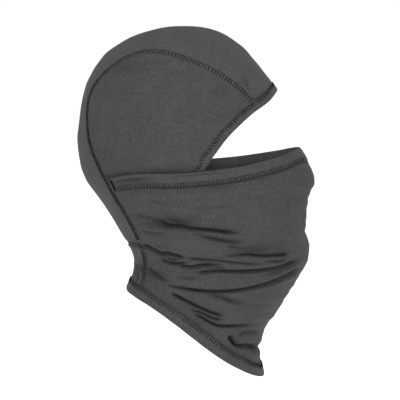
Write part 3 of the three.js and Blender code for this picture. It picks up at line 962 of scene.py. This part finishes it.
FACE_ROWS = (FACE_HEM - 4.4 * MM, FACE_HEM - 1.1 * MM)
face_hem = hem("face_hem_fold", face_band, 420, FACE_HEM, face_hem_lift, FACE_ROWS[0], HEM_CLOTH)
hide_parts("face_hem")
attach(face_hem, "hood")
face_rows = ladder("face_hem_stitches", face_band, *FACE_ROWS, on_top(face_hem_lift, SEWN_TOP), THREAD,
                   width=0.95 * MM, ends=(-0.999, 0.999))
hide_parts("face_hem_stitching")
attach(face_rows, "hood")

NOSE_ROWS = (NOSE_HEM - 4.6 * MM, NOSE_HEM - 1.4 * MM)
nose_hem = hem("nose_hem_fold", nose_band, 360, NOSE_HEM, nose_hem_lift, NOSE_ROWS[0], HEM_CLOTH,
               wrinkle=nose_hem_wrinkle, painted_edge_shade=1)
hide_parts("nose_hem")
nose_rows = ladder("nose_hem_stitches", nose_band, *NOSE_ROWS, on_top(nose_hem_lift, SEWN_TOP), THREAD,
                   width=0.8 * MM)
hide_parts("nose_hem_stitching")

# The mask turns about its two ends: the front of it goes all the way with the nose band, the neck stays.
for piece in (mask, nose_hem, nose_rows):
    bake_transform(piece)

NECK_ROWS = (NECK_HEM - 5.6 * MM, NECK_HEM - 0.8 * MM)
neck_hem = hem("neck_hem_fold", neck_band, 440, NECK_HEM, neck_hem_lift, NECK_ROWS[0], HEM_CLOTH, closed=True)
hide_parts("neck_hem")
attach(neck_hem, "hood")
neck_rows = ladder("neck_hem_stitches", neck_band, *NECK_ROWS, on_top(neck_hem_lift, SEWN_TOP), THREAD,
                   width=0.9 * MM)
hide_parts("neck_hem_stitching")
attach(neck_rows, "hood")


SEAM_BULGE = 0.7 * MM
SEAM_ROWS = (-2.0 * MM, 2.0 * MM)


def seam_lift(base, u, across):
    folds, _ = folds_at(base[:, 0], base[:, 2], -1, CROWN_CREASES)
    return 0.15 * MM + folds * 0.5


for name, side in (("right", -1), ("left", 1)):
    band = seam_band(side)
    bed, u, v = new_grid(f"seam_bed_{name}", 300, 8)
    across = (v - 0.5) * SEAM_WIDTH
    base = stand(band, u, across)
    normals = outward(band, u, across, BAND_STEP)
    bulge = SEAM_BULGE * np.abs(np.cos(math.pi * (v - 0.5))) ** 0.6 - 0.25 * MM
    co = base + normals * (seam_lift(base, u, across) + bulge)[:, None]
    set_shape(bed, co)
    set_pattern_lengths(bed, u, v, co)
    face_outwards(bed, normals)
    finish_with(bed, "SOLIDIFY", "thickness", thickness=0.9 * MM, offset=-1)
    smooth(bed, SEAM_CLOTH)
    seam = join(f"crown_seam_threads_{name}", [
        bed,
        ladder("seam_ladder", band, *SEAM_ROWS, on_top(seam_lift, 0.65 * MM), THREAD, pitch=3.2 * MM,
               width=1.0 * MM),
    ])
    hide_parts(f"crown_seam_{name}")
    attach(seam, "hood")


def tack_band(side):
    def place(u, across):
        """u down the seam from the top of the nose hem, across towards the front"""
        t = hinge_share + (u - 1) * TACK_LENGTH / 2 / SEAM_LINE.length
        return SEAM_LINE.beside(t, -across), side
    return place


def tack_lift(base, u, across):
    return nose_hem_lift(base, 0.97 + 0 * u, across) + SEWN_TOP + 0.3 * MM


for name, side in (("right", -1), ("left", 1)):
    tack = ladder(f"bar_tack_threads_{name}", tack_band(side), 4.2 * MM, 6.6 * MM, tack_lift, THREAD,
                  pitch=0.62 * MM, width=0.6 * MM)
    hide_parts(f"bar_tack_{name}")
    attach(tack, "hood")


# ---------------------------------------------------------------- setting, light and camera

AMBIENT = 0.25  # strength of the surroundings as a light; they look white
FLOOR_GLOW = 0.3  # the floor's own strength as a light
FLOOR_SEEN = 0.9  # and as it looks
FLOOR_DROP = 0.12  # how far the floor lies below the garment, in metres


def brighter_to_camera(tree, strength, seen_strength, socket):
    """One strength for the light that something gives, and another for how it looks itself."""
    seen = tree.nodes.new("ShaderNodeLightPath")
    chosen = tree.nodes.new("ShaderNodeMath")
    chosen.operation = "MULTIPLY_ADD"
    chosen.inputs[1].default_value = seen_strength - strength
    chosen.inputs[2].default_value = strength
    tree.links.new(seen.outputs["Is Camera Ray"], chosen.inputs[0])
    tree.links.new(chosen.outputs[0], socket)


def setting():
    deselect()
    bpy.ops.mesh.primitive_plane_add(size=12, location=(0, 0, cad_box[0][2] - FLOOR_DROP))
    floor = bpy.context.object
    floor.name = "floor"
    pale = bpy.data.materials.new("pale_floor")
    pale.use_nodes = True
    shader = pale.node_tree.nodes["Principled BSDF"]
    shader.inputs["Base Color"].default_value = (0.9, 0.9, 0.9, 1)
    shader.inputs["Roughness"].default_value = 0.9
    shader.inputs["Emission Color"].default_value = (1, 1, 1, 1)
    brighter_to_camera(pale.node_tree, FLOOR_GLOW, FLOOR_SEEN, shader.inputs["Emission Strength"])
    floor.data.materials.append(pale)
    world = bpy.data.worlds.new("studio")
    world.use_nodes = True
    background = world.node_tree.nodes["Background"]
    background.inputs["Color"].default_value = (1, 1, 1, 1)
    brighter_to_camera(world.node_tree, AMBIENT, 1, background.inputs["Strength"])
    bpy.context.scene.world = world
    bpy.context.scene.view_settings.view_transform = "Standard"


def light(name, place, aim, size, power):
    lamp = bpy.data.lights.new(name, "AREA")
    lamp.size = size
    lamp.energy = power
    holder = bpy.data.objects.new(name, lamp)
    bpy.context.scene.collection.objects.link(holder)
    holder.location = place
    way = np.array(aim, float) - np.array(place, float)
    tilt = math.acos(-way[2] / np.linalg.norm(way))
    holder.rotation_euler = (tilt, 0, math.atan2(way[1], way[0]) - math.pi / 2)


def camera():
    middle = ((cad_box[0][0] + cad_box[1][0]) / 2 + 4 * MM, 0, (cad_box[0][2] + cad_box[1][2]) / 2 + 2 * MM)
    distance = 1.9
    width_in_view = 0.4
    rise = math.radians(6)
    lens = bpy.data.cameras.new("camera")
    lens.sensor_width = 36
    lens.lens = lens.sensor_width * distance / width_in_view
    holder = bpy.data.objects.new("camera", lens)
    bpy.context.scene.collection.objects.link(holder)
    holder.location = (middle[0], -distance * math.cos(rise), middle[2] + distance * math.sin(rise))
    holder.rotation_euler = (math.pi / 2 - rise, 0, 0)
    bpy.context.scene.camera = holder
    return middle


middle = camera()
setting()
light("key", (-0.05, -1.0, 1.95), middle, 1.0, 20)
light("front", (0.05, -2.3, 0.06), middle, 0.5, 14)
light("side", (1.9, -0.9, 0.35), middle, 0.9, 1.2)
